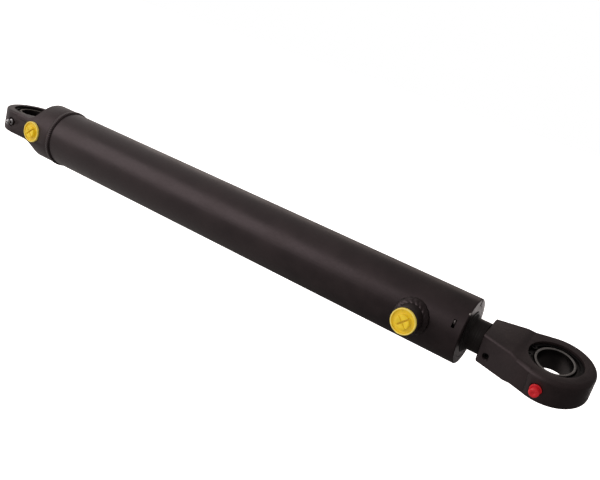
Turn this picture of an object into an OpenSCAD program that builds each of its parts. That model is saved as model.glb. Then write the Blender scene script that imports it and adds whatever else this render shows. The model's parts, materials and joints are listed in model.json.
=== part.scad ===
// Double-acting hydraulic cylinder with spherical bearing eyes at both ends.
// Origin: centre of the base pin bore. +X runs to the rod eye, +Z along the
// base pin, and both oil ports face -Y. The rod is drawn fully retracted.

/* [Barrel] */
// Outer diameter of the tube
tube_od = 63; // [60:0.5:66]
// Honed bore of the tube
tube_id = 50; // [48:0.5:52]
// Base pin centre to the tube's rear end
tube_rear_x = 64; // [60:1:72]

/* [Rod] */
// Diameter of the piston rod
rod_d = 30; // [28:1:32]
// Working stroke of the rod, which sets the barrel's length
stroke = 400; // [300:5:450]
// Rod eye's angle about the barrel's axis, as drawn
eye_turn = 13; // [0:1:45]

/* [Eyes and bearings] */
// Pin bore of both spherical bearings
pin_d = 30; // [28:1:30]
// Outer diameter of both spherical bearings
bearing_od = 47; // [46:1:48]
// Width of the bearing's inner ring
ball_w = 22; // [20:1:24]
// Width of the bearing's outer ring
race_w = 18; // [16:1:18]
// Thickness of both eye plates at the bore
eye_t = 26; // [25:0.5:28]
// Radius of the base eye
base_eye_r = 31.8; // [30:0.1:32]
// Radius of the rod eye
rod_eye_r = 34.3; // [32:0.1:36]
// Rod eye's centre ahead of the tube's front end
eye_gap = 75; // [75:1:90]

/* [Ports] */
// Major diameter of the port thread
port_thread_d = 16.66; // [14:0.01:18]
// Distance of the base port from the base pin
base_port_x = 37; // [35:1:38]
// Distance of the rod-side port from the tube's front end
rod_port_back = 45.5; // [44:0.5:48]
// Outer diameter of the welded port boss
boss_d = 26; // [24:1:30]
// Flange diameter of the transport plugs
plug_d = 23.8; // [20:0.2:24]

/* [Hidden] */
$fn = 96;
eps = 0.01;
// running clearances on the radius
run_gap = 0.05;
seal_gap = 0.03;

paint = [0.13, 0.12, 0.13];
steel = [0.72, 0.72, 0.74];
dark_steel = [0.35, 0.35, 0.37];
rubber_black = [0.08, 0.08, 0.08];
guide_brown = [0.42, 0.30, 0.18];
plug_yellow = [0.90, 0.72, 0.15];
cap_red = [0.80, 0.10, 0.12];

tube_r = tube_od / 2;
bore_r = tube_id / 2;
rod_r = rod_d / 2;
pin_r = pin_d / 2;
bearing_r = bearing_od / 2;
eye_h = eye_t / 2;

// base end cap
cap_r = 32.6;
flat_end_x = 22.5;
flat_runout_r = 14;
base_eye_round = 2.5;
base_nipple_seat_y = 30;
spigot_len = 10;
spigot_r = bore_r - run_gap;
cavity_r = 12;
cavity_x = 29;
nut_cavity_r = 19.5;
nut_cavity_x = 48;
spot_y = 31.5;
spot_r = 12.6;
weld_root_r = 28.5;
weld_rear_w = 2.5;
weld_front_w = 3;

// ports
thread_r = port_thread_d / 2;
thread_len = 12;
oil_r = 5;
boss_r = boss_d / 2;
boss_top_y = 47;
boss_weld_w = 4.6;
boss_weld_h = 4.4;
weld_steps = 4;
plug_r = plug_d / 2;
plug_flange_t = 2.5;
plug_shank_r = thread_r - 0.08;
plug_shank_len = 9;
plug_wall = 1.8;
plug_centre_r = 6.6;
plug_centre_h = 2;
plug_rim_w = 1.2;
plug_recess = 0.8;
plug_slot_w = 1.4;
plug_slot_depth = 2.2;
plug_cross_depth = 0.8;
plug_slot_turn = 44;

// gland and its seals, as distances behind the tube's front end
gland_len = 38;
gland_r = bore_r - run_gap;
nose_len = 24.5;
nose_r = 21;
gland_bore_r = rod_r + 0.3;
wire_back = 8.8;
wire_r = 1.4;
wire_groove_w = 2.9;
wire_groove_depth = 1.5;
wire_gap_angle = 20;
window_from = 14;
window_to = 28;
notch_angle = 80.5;
notch_w = 3;
notch_depth = 4;
o_groove_back = 25;
o_groove_w = 5.6;
o_groove_depth = 2.6;
o_ring_w = 3.4;
backup_w = 1.6;
guide_back = 57;
guide_w = 14;
guide_t = 2.5;
rod_seal_back = 33;
rod_seal_w = 8;
rod_seal_t = 5;
wiper_w = 6;
wiper_t = 4.4;
wiper_lip = 3.2;

// bearings, their circlips and the grease nipples
sphere_r = 20.35;
sphere_gap = 0.1;
clip_t = 1.75;
clip_groove_r = 24.75;
clip_out_r = 24.6;
clip_in_r = 20.6;
clip_gap_angle = 26;
clip_lug_r = 2.6;
clip_hole_r = 1.1;
grease_groove_w = 3;
grease_groove_depth = 0.7;
grease_hole_r = 1.2;
nipple_thread_r = 3;
nipple_thread_len = 4.6;
nipple_hex_r = 4.04;
nipple_hex_t = 2.5;
nipple_neck_r = 2;
nipple_head_r = 3.2;
nipple_h = 8.9;
nipple_mouth_r = 0.8;
check_ball_r = 1.1;
check_bore_r = 1.2;
nipple_cap_r = 5.2;
nipple_cap_wall = 1;
nipple_cap_gap = 0.2;
nipple_spot_r = 5.6;
rod_nipple_seat_y = 31.4;
rod_nipple_x = -3;

// piston and rod end
piston_rear_x = tube_rear_x + spigot_len + 2;
piston_len = 44;
piston_r = bore_r - 0.1;
shoulder_x = piston_rear_x + piston_len;
face_gap = 0.05;
tail_r = 11;
tail_rear_x = 54;
nut_t = 17.5;
nut_af = 30;
piston_seal_at = 17;
piston_seal_w = 10;
piston_seal_depth = 5.3;
seal_cap_t = 2.6;
wear_at = [4, 32];
wear_w = 8;
wear_t = 2.4;
inner_o_at = 36;
inner_o_w = 3.4;
inner_o_depth = 2.4;

// the stroke sets where the tube ends
end_gap = 0.5;
tube_front_x = shoulder_x + stroke + end_gap + nose_len + gland_len;
rod_eye_x = tube_front_x + eye_gap;
rod_port_x = tube_front_x - rod_port_back;

// rod eye, in its own frame: eye centre at the origin, shank towards -X
shank_x = -59.5;
step_x = -32;
shank_end_w = 16.2;
shank_step_w = 24;
shank_h = 14.6;
shank_chamfer = 1.3;
shank_corner = 0.8;
step_len = 6;
eye_round = 4;
round_steps = 8;
stud_r = 12;
stud_len = 28;
screw_x = -51.6;
screw_z = -4;
screw_r = 3;
screw_len = 4;
screw_hex_af = 3;
screw_side_y = 18.3;
screw_sink = 2.2;
screw_socket = 2.4;

// a solid of revolution about X from [x, radius] points
module turned(points) {
    rotate([0, 90, 0])
        rotate_extrude()
            polygon([for (p = points) [p[1], p[0]]]);
}

// a straight ring about X
module ring_x(x0, x1, r_in, r_out) {
    turned([[x0, r_in], [x1, r_in], [x1, r_out], [x0, r_out]]);
}

// a plain cylinder about X
module rod_x(x0, x1, r) {
    translate([x0, 0, 0])
        rotate([0, 90, 0])
            cylinder(h = x1 - x0, r = r);
}

// a cylinder along -Y, from y = -y0 out to y = -y1, at station x
module stud_y(x, y0, y1, r) {
    translate([x, -y0, 0])
        rotate([90, 0, 0])
            cylinder(h = y1 - y0, r = r);
}

// puts an eye-frame solid where the rod eye stands
module at_rod_eye() {
    translate([rod_eye_x, 0, 0])
        rotate([eye_turn, 0, 0])
            children();
}

// --- barrel ---

module wire_window() {
    // the slot through which the lock wire is fed
    rotate([-window_from, 0, 0])
        rotate([0, 90, 0])
            rotate([0, 0, -90])
                translate([0, 0, tube_front_x - wire_back - wire_groove_w / 2])
                    rotate_extrude(angle = -(window_to - window_from))
                        translate([bore_r - 1, 0])
                            square([tube_r, wire_groove_w]);
}

module end_notch() {
    // notch through the tube's front edge
    rotate([notch_angle, 0, 0])
        translate([tube_front_x - notch_depth, bore_r - 1, -notch_w / 2])
            cube([notch_depth + 1, tube_r, notch_w]);
}

module barrel_tube() {
    color(paint)
        difference() {
            turned([
                [tube_rear_x, bore_r],
                [tube_front_x, bore_r],
                [tube_front_x, tube_r - 0.8],
                [tube_front_x - 0.8, tube_r],
                [tube_rear_x + weld_front_w, tube_r],
                [tube_rear_x, weld_root_r]
            ]);
            ring_x(
                tube_front_x - wire_back - wire_groove_w / 2,
                tube_front_x - wire_back + wire_groove_w / 2,
                bore_r - 1, bore_r + wire_groove_depth
            );
            wire_window();
            end_notch();
            stud_y(rod_port_x, bore_r - 4, tube_r + 1, oil_r);
        }
}

// plan of the neck, from where it touches the round eye to the full bar
module neck_plan() {
    corner = [flat_end_x + 8, cap_r];
    reach = norm(corner);
    bearing = atan2(corner[1], corner[0]) + acos(base_eye_r / reach);
    touch = [base_eye_r * cos(bearing), base_eye_r * sin(bearing)];
    polygon([
        touch, corner, [tube_rear_x, cap_r],
        [tube_rear_x, -cap_r], [corner[0], -corner[1]], [touch[0], -touch[1]]
    ]);
}

// a round eye plate with rounded edges
module eye_disc(r, round) {
    flat_r = r - round;
    edge = [
        for (i = [0 : round_steps])
            let (a = 90 * i / round_steps)
                [flat_r + round * cos(a), eye_h - round + round * sin(a)]
    ];
    lower = [for (i = [round_steps : -1 : 0]) [edge[i][0], -edge[i][1]]];
    rotate_extrude()
        polygon(concat([[0, -eye_h]], lower, edge, [[0, eye_h]]));
}

// the milled flat above the eye and its round run-out
module flat_cut() {
    far = 2 * cap_r;
    translate([-far, -far, eye_h])
        cube([far + flat_end_x, 2 * far, far]);
    translate([flat_end_x, 0, eye_h + flat_runout_r])
        rotate([90, 0, 0])
            cylinder(h = 2 * far, r = flat_runout_r, center = true);
    translate([-far, -far, eye_h + flat_runout_r])
        cube([far + flat_end_x + flat_runout_r, 2 * far, far]);
}

module bearing_seat() {
    cylinder(h = eye_t + 2, r = bearing_r, center = true);
    for (side = [-1, 1])
        translate([0, 0, side * (race_w + clip_t) / 2])
            cylinder(h = clip_t, r = clip_groove_r, center = true);
}

module base_end_cap() {
    color(paint)
        difference() {
            union() {
                eye_disc(base_eye_r, base_eye_round);
                intersection() {
                    linear_extrude(height = 2 * cap_r, center = true)
                        neck_plan();
                    turned([
                        [-base_eye_r, 0],
                        [tube_rear_x, 0],
                        [tube_rear_x, weld_root_r],
                        [tube_rear_x - weld_rear_w, cap_r],
                        [-base_eye_r, cap_r]
                    ]);
                }
                rod_x(tube_rear_x - 1, tube_rear_x + spigot_len, spigot_r);
            }
            flat_cut();
            mirror([0, 0, 1])
                flat_cut();
            bearing_seat();
            rod_x(cavity_x, tube_rear_x + spigot_len + 1, cavity_r);
            rod_x(nut_cavity_x, tube_rear_x + spigot_len + 1, nut_cavity_r);
            stud_y(base_port_x, spot_y, spot_y + 5, spot_r);
            stud_y(base_port_x, spot_y - thread_len, spot_y + 1, thread_r);
            stud_y(base_port_x, cavity_r - 2, spot_y, oil_r);
            stud_y(0, base_nipple_seat_y, base_eye_r + 2, nipple_spot_r);
            stud_y(
                0, base_nipple_seat_y - nipple_thread_len,
                base_nipple_seat_y + 1, nipple_thread_r
            );
            stud_y(0, bearing_r - 1, base_eye_r, grease_hole_r);
        }
}

module base_weld_bead() {
    rear = tube_rear_x - weld_rear_w;
    front = tube_rear_x + weld_front_w;
    color(paint)
        turned([
            [tube_rear_x, weld_root_r],
            [front, tube_r],
            [front + 0.9, tube_r],
            [front - 0.2, tube_r + 1.1],
            [front - 1.9, tube_r + 1.8],
            [rear + 1.5, tube_r + 1.8],
            [rear + 0.3, cap_r + 0.3],
            [rear, cap_r]
        ]);
}

module rod_port_boss() {
    color(paint)
        difference() {
            stud_y(rod_port_x, bore_r, boss_top_y, boss_r);
            rod_x(rod_port_x - 2 * boss_r, rod_port_x + 2 * boss_r, tube_r);
            stud_y(rod_port_x, boss_top_y - thread_len, boss_top_y + 1, thread_r);
            stud_y(rod_port_x, bore_r, boss_top_y, oil_r);
        }
}

module rod_port_weld_bead() {
    reach = boss_r + boss_weld_w;
    color(paint)
        difference() {
            union()
                for (i = [1 : weld_steps])
                    intersection() {
                        stud_y(
                            rod_port_x, bore_r - 10, boss_top_y - 2,
                            boss_r + boss_weld_w * cos(90 * (i - 1) / weld_steps)
                        );
                        rod_x(
                            rod_port_x - reach, rod_port_x + reach,
                            tube_r + boss_weld_h * sin(90 * i / weld_steps)
                        );
                    }
            rod_x(rod_port_x - 2 * reach, rod_port_x + 2 * reach, tube_r);
            stud_y(rod_port_x, 0, boss_top_y, boss_r);
            // nothing on the far side of the tube
            translate([rod_port_x - 2 * reach, -tube_r / 2, -2 * tube_r])
                cube([4 * reach, 3 * tube_r, 4 * tube_r]);
        }
}

// --- gland ---

module gland() {
    front = tube_front_x;
    wire_x = front - wire_back;
    color(dark_steel)
        difference() {
            turned([
                [front - gland_len - nose_len, gland_bore_r],
                [front - 0.1, gland_bore_r],
                [front - 0.1, gland_r - 0.4],
                [front - 0.5, gland_r],
                [front - gland_len, gland_r],
                [front - gland_len, nose_r],
                [front - gland_len - nose_len, nose_r]
            ]);
            ring_x(
                wire_x - wire_groove_w / 2, wire_x + wire_groove_w / 2,
                gland_r - wire_groove_depth, bore_r + 1
            );
            ring_x(
                front - o_groove_back, front - o_groove_back + o_groove_w,
                gland_r - o_groove_depth, bore_r + 1
            );
            ring_x(
                front - guide_back, front - guide_back + guide_w,
                rod_r, gland_bore_r + guide_t
            );
            ring_x(
                front - rod_seal_back, front - rod_seal_back + rod_seal_w,
                rod_r, gland_bore_r + rod_seal_t
            );
            ring_x(front - wiper_w, front + 1, rod_r, gland_bore_r + wiper_t);
        }
}

module gland_lock_wire() {
    color(steel)
        translate([tube_front_x - wire_back, 0, 0])
            rotate([0, 90, 0])
                rotate([0, 0, -90 - window_to])
                    rotate_extrude(angle = 360 - wire_gap_angle)
                        translate([bore_r - run_gap / 2, 0])
                            circle(r = wire_r, $fn = 24);
}

module gland_o_ring() {
    x0 = tube_front_x - o_groove_back + backup_w;
    color(rubber_black)
        ring_x(x0, x0 + o_ring_w, gland_r - o_groove_depth, bore_r);
}

module gland_backup_ring() {
    x0 = tube_front_x - o_groove_back;
    color("ivory")
        ring_x(x0, x0 + backup_w, gland_r - o_groove_depth, bore_r);
}

module rod_guide_ring() {
    x0 = tube_front_x - guide_back;
    color(guide_brown)
        ring_x(x0, x0 + guide_w, rod_r + run_gap, gland_bore_r + guide_t);
}

module rod_seal() {
    x0 = tube_front_x - rod_seal_back;
    r0 = rod_r + seal_gap;
    r1 = gland_bore_r + rod_seal_t;
    color("steelblue")
        turned([
            [x0, r0],
            [x0 + rod_seal_w, r0],
            [x0 + rod_seal_w, r1],
            [x0, r1],
            [x0, r1 - 1.6],
            [x0 + 2.4, (r0 + r1) / 2],
            [x0, r0 + 1.6]
        ]);
}

module rod_wiper() {
    x0 = tube_front_x - wiper_w;
    r0 = rod_r + seal_gap;
    r1 = gland_bore_r + wiper_t;
    color(rubber_black)
        turned([
            [x0, r0 + 0.6],
            [x0, r1],
            [tube_front_x, r1],
            [tube_front_x + 0.8, r1 - 0.6],
            [tube_front_x + 1, r0 + 2.6],
            [tube_front_x + wiper_lip, r0 + 0.9],
            [tube_front_x + wiper_lip, r0],
            [x0 + 2, r0]
        ]);
}

// --- spherical bearings ---

module bearing_outer_ring() {
    color(dark_steel)
        difference() {
            cylinder(h = race_w, r = bearing_r, center = true);
            sphere(r = sphere_r + sphere_gap);
            difference() {
                cylinder(h = grease_groove_w, r = bearing_r + 1, center = true);
                cylinder(h = 2 * grease_groove_w, r = bearing_r - grease_groove_depth, center = true);
            }
            rotate([90, 0, 0])
                cylinder(h = 4 * bearing_r, r = grease_hole_r, center = true);
        }
}

module bearing_inner_ring() {
    color(steel)
        difference() {
            intersection() {
                sphere(r = sphere_r);
                cylinder(h = ball_w, r = sphere_r + 1, center = true);
            }
            cylinder(h = ball_w + 2, r = pin_r, center = true);
        }
}

// one internal circlip lying on z = 0, its gap towards -X
module circlip() {
    lug_at = (clip_in_r + clip_out_r) / 2 - 1.2;
    difference() {
        union() {
            difference() {
                cylinder(h = clip_t, r = clip_out_r);
                translate([0, 0, -1])
                    cylinder(h = clip_t + 2, r = clip_in_r);
                translate([0, 0, -1])
                    linear_extrude(height = clip_t + 2)
                        polygon([
                            [0, 0],
                            2 * clip_out_r * [-cos(clip_gap_angle / 2), sin(clip_gap_angle / 2)],
                            2 * clip_out_r * [-cos(clip_gap_angle / 2), -sin(clip_gap_angle / 2)]
                        ]);
            }
            for (side = [-1, 1])
                rotate([0, 0, 180 + side * (clip_gap_angle / 2 + 4)])
                    translate([lug_at, 0, 0])
                        cylinder(h = clip_t, r = clip_lug_r);
        }
        for (side = [-1, 1])
            rotate([0, 0, 180 + side * (clip_gap_angle / 2 + 4)])
                translate([lug_at, 0, -1])
                    cylinder(h = clip_t + 2, r = clip_hole_r);
    }
}

module circlip_pair() {
    color(dark_steel)
        for (side = [0, 1])
            mirror([0, 0, side])
                translate([0, 0, race_w / 2])
                    circlip();
}

// --- grease nipples, drawn standing on z = 0 ---

module nipple() {
    head_z = nipple_h - 3.6;
    color(steel)
        difference() {
            union() {
                translate([0, 0, -nipple_thread_len])
                    cylinder(h = nipple_thread_len, r = nipple_thread_r);
                cylinder(h = nipple_hex_t, r = nipple_hex_r, $fn = 6);
                rotate_extrude()
                    polygon([
                        [0, nipple_hex_t - 0.1],
                        [nipple_head_r, nipple_hex_t - 0.1],
                        [nipple_neck_r, nipple_hex_t + 1.2],
                        [nipple_neck_r, head_z - 0.6],
                        [nipple_head_r, head_z + 0.8],
                        [nipple_head_r, head_z + 1.8],
                        [nipple_neck_r - 0.4, nipple_h],
                        [0, nipple_h]
                    ]);
            }
            translate([0, 0, -nipple_thread_len - 1])
                cylinder(h = nipple_thread_len + nipple_h + 0.4, r = check_bore_r);
            translate([0, 0, 0])
                cylinder(h = nipple_h + 1, r = nipple_mouth_r);
        }
}

module check_ball() {
    seat = nipple_h - 0.6 - sqrt(pow(check_ball_r, 2) - pow(nipple_mouth_r, 2)) - 0.05;
    color(steel)
        translate([0, 0, seat])
            sphere(r = check_ball_r, $fn = 32);
}

module nipple_cap() {
    cap_z0 = nipple_hex_t + nipple_cap_gap;
    cap_z1 = nipple_h + nipple_cap_gap + nipple_cap_wall;
    color(cap_red)
        difference() {
            rotate_extrude()
                polygon([
                    [0, cap_z0],
                    [nipple_cap_r, cap_z0],
                    [nipple_cap_r, cap_z1 - 1.2],
                    [nipple_cap_r - 0.4, cap_z1 - 0.4],
                    [nipple_cap_r - 1.4, cap_z1],
                    [1, cap_z1],
                    [0.6, cap_z1 - 0.4],
                    [0, cap_z1 - 0.4]
                ]);
            translate([0, 0, cap_z0 - 1])
                cylinder(h = nipple_h + nipple_cap_gap - cap_z0 + 1, r = nipple_head_r + nipple_cap_gap);
        }
}

module at_base_nipple() {
    translate([0, -base_nipple_seat_y, 0])
        rotate([90, 0, 0])
            children();
}

module at_rod_nipple() {
    at_rod_eye()
        translate([rod_nipple_x, -rod_nipple_seat_y, 0])
            rotate([90, 0, 0])
                children();
}

// --- transport plugs, drawn with the flange standing on z = 0 ---

module port_plug() {
    top = plug_flange_t;
    centre_top = top + plug_centre_h;
    color(plug_yellow)
        difference() {
            rotate_extrude()
                polygon([
                    [0, -1],
                    [plug_shank_r - plug_wall, -1],
                    [plug_shank_r - plug_wall, -plug_shank_len],
                    [plug_shank_r, -plug_shank_len],
                    [plug_shank_r, 0],
                    [plug_r, 0],
                    [plug_r, top - 0.4],
                    [plug_r - 0.4, top],
                    [plug_r - plug_rim_w, top],
                    [plug_r - plug_rim_w - 0.3, top - plug_recess],
                    [plug_centre_r + 0.3, top - plug_recess],
                    [plug_centre_r, centre_top - 0.5],
                    [plug_centre_r - 0.5, centre_top],
                    [0, centre_top]
                ]);
            rotate([0, 0, plug_slot_turn]) {
                translate([-plug_centre_r - 1, -plug_slot_w / 2, centre_top - plug_slot_depth])
                    cube([2 * plug_centre_r + 2, plug_slot_w, plug_slot_depth + 1]);
                translate([-plug_slot_w / 2, -plug_centre_r - 1, centre_top - plug_cross_depth])
                    cube([plug_slot_w, 2 * plug_centre_r + 2, plug_cross_depth + 1]);
            }
        }
}

module rod_port_plug() {
    translate([rod_port_x, -boss_top_y, 0])
        rotate([90, 0, 0])
            port_plug();
}

module base_port_plug() {
    translate([base_port_x, -spot_y, 0])
        rotate([90, 0, 0])
            port_plug();
}

// --- piston ---

module piston() {
    x0 = piston_rear_x + face_gap;
    x1 = shoulder_x - face_gap;
    color(dark_steel)
        difference() {
            ring_x(x0, x1, tail_r + run_gap, piston_r);
            ring_x(
                piston_rear_x + piston_seal_at, piston_rear_x + piston_seal_at + piston_seal_w,
                piston_r - piston_seal_depth, bore_r
            );
            for (at = wear_at)
                ring_x(
                    piston_rear_x + at, piston_rear_x + at + wear_w,
                    piston_r - wear_t, bore_r
                );
            ring_x(
                piston_rear_x + inner_o_at, piston_rear_x + inner_o_at + inner_o_w,
                tail_r, tail_r + run_gap + inner_o_depth
            );
        }
}

module piston_seal() {
    x0 = piston_rear_x + piston_seal_at;
    color("steelblue")
        ring_x(x0, x0 + piston_seal_w, bore_r - seal_gap - seal_cap_t, bore_r - seal_gap);
}

module piston_seal_energiser() {
    x0 = piston_rear_x + piston_seal_at;
    color(rubber_black)
        ring_x(x0, x0 + piston_seal_w, piston_r - piston_seal_depth, bore_r - seal_gap - seal_cap_t);
}

module piston_wear_rings() {
    color(guide_brown)
        for (at = wear_at)
            ring_x(
                piston_rear_x + at, piston_rear_x + at + wear_w,
                piston_r - wear_t, bore_r - run_gap
            );
}

module piston_o_ring() {
    x0 = piston_rear_x + inner_o_at;
    color(rubber_black)
        ring_x(x0, x0 + inner_o_w, tail_r + run_gap, tail_r + run_gap + inner_o_depth);
}

// --- rod ---

module piston_rod() {
    neck_x = rod_eye_x + shank_x;
    color("gainsboro")
        turned([
            [tail_rear_x, 0],
            [tail_rear_x, tail_r - 1.2],
            [tail_rear_x + 1.2, tail_r],
            [shoulder_x, tail_r],
            [shoulder_x, rod_r - 0.8],
            [shoulder_x + 0.8, rod_r],
            [neck_x, rod_r],
            [neck_x, stud_r],
            [neck_x + stud_len - 1.2, stud_r],
            [neck_x + stud_len, stud_r - 1.2],
            [neck_x + stud_len, 0]
        ]);
}

module piston_nut() {
    color(steel)
        difference() {
            translate([piston_rear_x - nut_t, 0, 0])
                rotate([0, 90, 0])
                    cylinder(h = nut_t, r = nut_af / 2 / cos(30), $fn = 6);
            rod_x(tail_rear_x, shoulder_x, tail_r);
        }
}

// a thin cross-section of the shank at x: half width w, half height h, cut corners
module shank_section(x, w, h, cut) {
    translate([x, 0, 0])
        rotate([90, 0, 90])
            linear_extrude(height = eps)
                polygon([
                    [-w + cut, -h], [w - cut, -h], [w, -h + cut], [w, h - cut],
                    [w - cut, h], [-w + cut, h], [-w, h - cut], [-w, -h + cut]
                ]);
}

module rod_eye_body() {
    // the shank ends where its sides touch the round eye
    reach = norm([step_x, shank_step_w]);
    bearing = atan2(shank_step_w, step_x) - acos(rod_eye_r / reach);
    touch = [rod_eye_r * cos(bearing), rod_eye_r * sin(bearing)];
    cut = shank_chamfer;
    corner = shank_corner;
    slope = (shank_step_w - shank_end_w) / (step_x - shank_x);
    // thicker block on the rod side, its end corners cut back
    hull() {
        shank_section(shank_x, shank_end_w - corner, shank_h - 1, cut);
        shank_section(shank_x + corner, shank_end_w + slope * corner, shank_h, cut);
        shank_section(step_x, shank_step_w, shank_h, cut);
    }
    // sloping step down to the eye's own thickness
    hull() {
        shank_section(step_x, shank_step_w, shank_h, cut);
        shank_section(step_x + step_len, shank_step_w + 0.4 * step_len, eye_h, cut);
    }
    hull() {
        shank_section(step_x, shank_step_w, eye_h, cut);
        shank_section(touch[0], touch[1], eye_h, eye_round * 0.7);
    }
    eye_disc(rod_eye_r, eye_round);
}

module rod_eye() {
    color(paint)
        at_rod_eye()
            difference() {
                rod_eye_body();
                bearing_seat();
                rod_x(shank_x - 1, shank_x + stud_len, stud_r);
                // set screw hole, countersunk
                translate([screw_x, 0, screw_z])
                    rotate([90, 0, 0])
                        cylinder(h = 2 * screw_side_y, r = screw_r);
                translate([screw_x, -screw_side_y + 1, screw_z])
                    rotate([90, 0, 0])
                        cylinder(h = 2, r1 = screw_r, r2 = screw_r + 1.4);
                // grease nipple seat
                stud_y(rod_nipple_x, rod_nipple_seat_y, rod_eye_r + 1, nipple_spot_r);
                stud_y(
                    rod_nipple_x, rod_nipple_seat_y - nipple_thread_len,
                    rod_nipple_seat_y + 1, nipple_thread_r
                );
                stud_y(rod_nipple_x, bearing_r - 2, rod_nipple_seat_y, grease_hole_r);
            }
}

module rod_eye_set_screw() {
    color(dark_steel)
        at_rod_eye()
            translate([screw_x, -screw_side_y + screw_sink, screw_z])
                rotate([-90, 0, 0])
                    difference() {
                        cylinder(h = screw_len, r = screw_r);
                        translate([0, 0, -1])
                            cylinder(h = screw_socket + 1, r = screw_hex_af / 2 / cos(30), $fn = 6);
                    }
}

module base_bearing_outer_ring() { bearing_outer_ring(); }
module base_bearing_inner_ring() { bearing_inner_ring(); }
module base_bearing_circlips() { rotate([0, 0, 180]) circlip_pair(); }
module base_grease_nipple() { at_base_nipple() nipple(); }
module base_nipple_check_ball() { at_base_nipple() check_ball(); }
module rod_bearing_outer_ring() { at_rod_eye() bearing_outer_ring(); }
module rod_bearing_inner_ring() { at_rod_eye() bearing_inner_ring(); }
module rod_bearing_circlips() { at_rod_eye() circlip_pair(); }
module rod_grease_nipple() { at_rod_nipple() nipple(); }
module rod_nipple_check_ball() { at_rod_nipple() check_ball(); }
module rod_nipple_cap() { at_rod_nipple() nipple_cap(); }

barrel_tube();
base_end_cap();
base_weld_bead();
rod_port_boss();
rod_port_weld_bead();
gland();
gland_lock_wire();
gland_o_ring();
gland_backup_ring();
rod_guide_ring();
rod_seal();
rod_wiper();
base_bearing_outer_ring();
base_bearing_inner_ring();
base_bearing_circlips();
base_grease_nipple();
base_nipple_check_ball();
rod_port_plug();
base_port_plug();
piston();
piston_seal();
piston_seal_energiser();
piston_wear_rings();
piston_o_ring();
piston_rod();
piston_nut();
rod_eye();
rod_eye_set_screw();
rod_bearing_outer_ring();
rod_bearing_inner_ring();
rod_bearing_circlips();
rod_grease_nipple();
rod_nipple_check_ball();
rod_nipple_cap();
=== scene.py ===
"""Looks of the hydraulic cylinder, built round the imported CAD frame.

Blender's lengths are in metres. A name or a table that says millimetres is turned into metres by MM.
"""
import json
import math

import bmesh
import bpy
from mathutils import Matrix, Vector, noise


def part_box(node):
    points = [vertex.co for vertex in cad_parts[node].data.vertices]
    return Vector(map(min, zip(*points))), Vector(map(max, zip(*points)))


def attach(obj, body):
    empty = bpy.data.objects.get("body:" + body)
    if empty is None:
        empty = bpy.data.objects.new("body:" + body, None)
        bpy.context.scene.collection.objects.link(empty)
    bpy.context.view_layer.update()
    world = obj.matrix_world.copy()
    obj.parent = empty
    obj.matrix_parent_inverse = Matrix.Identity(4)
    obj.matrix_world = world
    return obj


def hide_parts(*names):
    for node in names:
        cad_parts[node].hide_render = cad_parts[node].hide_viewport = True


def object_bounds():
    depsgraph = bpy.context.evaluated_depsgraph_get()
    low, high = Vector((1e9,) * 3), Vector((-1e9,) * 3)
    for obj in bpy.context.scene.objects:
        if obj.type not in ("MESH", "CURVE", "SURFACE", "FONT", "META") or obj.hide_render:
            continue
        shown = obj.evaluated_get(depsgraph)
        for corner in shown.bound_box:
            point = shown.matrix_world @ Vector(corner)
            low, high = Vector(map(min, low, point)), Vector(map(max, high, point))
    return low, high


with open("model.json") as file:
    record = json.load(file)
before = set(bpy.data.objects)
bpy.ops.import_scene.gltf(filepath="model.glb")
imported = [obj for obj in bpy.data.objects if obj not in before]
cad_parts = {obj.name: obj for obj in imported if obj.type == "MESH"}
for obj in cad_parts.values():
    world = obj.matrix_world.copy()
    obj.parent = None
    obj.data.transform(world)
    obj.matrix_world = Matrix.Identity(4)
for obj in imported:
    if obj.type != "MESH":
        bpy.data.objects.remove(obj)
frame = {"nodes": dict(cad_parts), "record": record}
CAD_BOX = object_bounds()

MM = 0.001
SHARP_ANGLE = math.radians(38.0)

# ---- places and turns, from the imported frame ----

MOUNTS = {mount["name"]: mount for mount in frame["record"]["mounts"]}
ROD_EYE_AT = Vector(MOUNTS["rod_pin_bore"]["pos_m"])
ROD_EYE_AXIS = Vector(MOUNTS["rod_pin_bore"]["axis"])
ROD_EYE_TURN = math.atan2(-ROD_EYE_AXIS.y, ROD_EYE_AXIS.z)

# ---- the CAD design's own measures, in millimetres ----

TUBE_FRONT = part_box("barrel_tube")[1].x / MM
TUBE_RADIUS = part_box("barrel_tube")[1].y / MM
BASE_PORT_X = MOUNTS["base_side_port"]["pos_m"][0] / MM
ROD_PORT_X = MOUNTS["rod_side_port"]["pos_m"][0] / MM
BOSS_RADIUS = 13.0
BOSS_TOP = 47.0             # the boss's face, from the tube's axis
SPOT_TOP = 31.5             # the base port's spot face, from the tube's axis
THREAD_RADIUS = 8.33        # the ports' thread
THREAD_LENGTH = 12.0
PORT_PITCH = 1.337
OIL_RADIUS = 5.0
PIN_RADIUS = 15.0
SPHERE_RADIUS = 20.35
BALL_HALF = 11.0            # half the inner ring's width
RACE_RADIUS = 23.5
RACE_HALF = 9.0             # half the outer ring's width
ROD_RADIUS = 15.0
TAIL_RADIUS = 11.0          # the rod's tail, through the piston and its nut
STUD_RADIUS = 12.0          # the rod's stud, in the eye
NECK_FROM_EYE = 59.5        # from the eye's axis back to where the stud starts
NOTCH_HALF = 1.5
NOTCH_DEPTH = 4.0
BASE_NIPPLE_TOP = 30.0      # the nipples' seats, from their eye's axis
ROD_NIPPLE_TOP = 31.4
ROD_NIPPLE_X = -3.0
TOUCH = 0.01                # two radii this close are the same

NOTCH_ANGLE = math.radians(80.5)
PLUG_TURN = math.radians(44.0)
ROD_BALL_TILT = math.radians(5.0)


def port_side(x, y):
    """A frame at x and y millimetres whose Z axis points out of the port side."""
    return Matrix.Translation((x * MM, y * MM, 0.0)) @ Matrix.Rotation(math.radians(90), 4, "X")


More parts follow.
